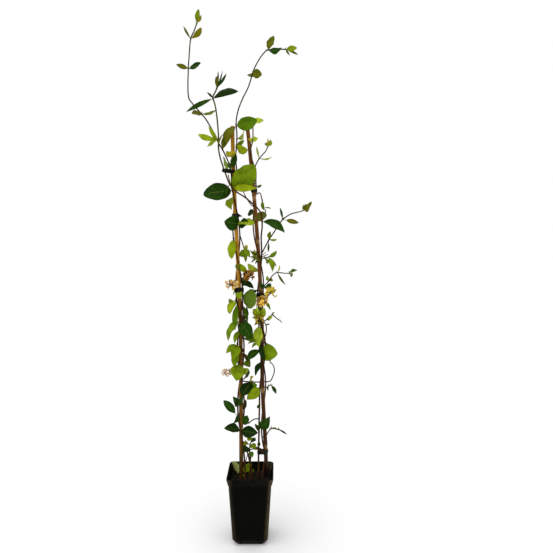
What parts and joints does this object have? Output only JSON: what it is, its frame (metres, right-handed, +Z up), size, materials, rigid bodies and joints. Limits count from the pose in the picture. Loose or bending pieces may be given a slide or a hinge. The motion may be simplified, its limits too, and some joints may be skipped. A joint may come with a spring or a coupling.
{
  "type": "potted honeysuckle on canes",
  "caption": "Twining honeysuckle with paired leaves and whorls of tubular flowers, tied to two bamboo canes in a deep square nursery pot.",
  "frame": {"origin": "middle of the pot's underside, on the surface that it stands on", "axes": "+Z up along the canes, +X to the right of the plant seen from its front, +Y towards its back"},
  "size_m": [0.3908, 0.1403, 1.5497],
  "materials": {
    "pot_plastic": "black moulded plastic, satin, with fine moulding lines near the foot",
    "potting_mix": "dark crumbly bark compost",
    "bamboo": "orange-brown bamboo with darker node rings",
    "tie_plastic": "black flexible plastic",
    "foliage": "dark to lime green leaves, smooth above, with sunk veins",
    "petals": "peach-orange to pale yellow, softly waxy"
  },
  "bodies": {
    "root": {"pot": "pot_plastic", "potting_mix": "potting_mix", "cane_left": "bamboo", "cane_right": "bamboo", "tie_left_top": "tie_plastic", "tie_left_upper": "tie_plastic", "tie_left_middle": "tie_plastic", "tie_left_low": "tie_plastic", "tie_right_top": "tie_plastic", "tie_right_middle": "tie_plastic", "tie_right_low": "tie_plastic", "leader_left": "foliage", "leader_middle": "foliage", "leader_crossing": "foliage", "leader_right": "foliage", "basal_shoot": "foliage", "arching_shoot": "foliage", "curling_shoot_low": "foliage", "looping_shoot": "foliage", "crinkled_shoot": "foliage", "side_shoot_low": "foliage", "hooked_shoot": "foliage", "side_shoot_middle": "foliage", "side_shoot_short": "foliage", "side_shoot_long": "foliage", "drooping_shoot": "foliage", "side_shoot_hanging": "foliage", "tip_shoot": "foliage", "flowers_top": "petals", "flowers_left": "petals", "flowers_right": "petals", "flowers_middle": "petals", "flowers_lower": "petals", "flowers_low_left": "petals"}
  },
  "joints": []
}
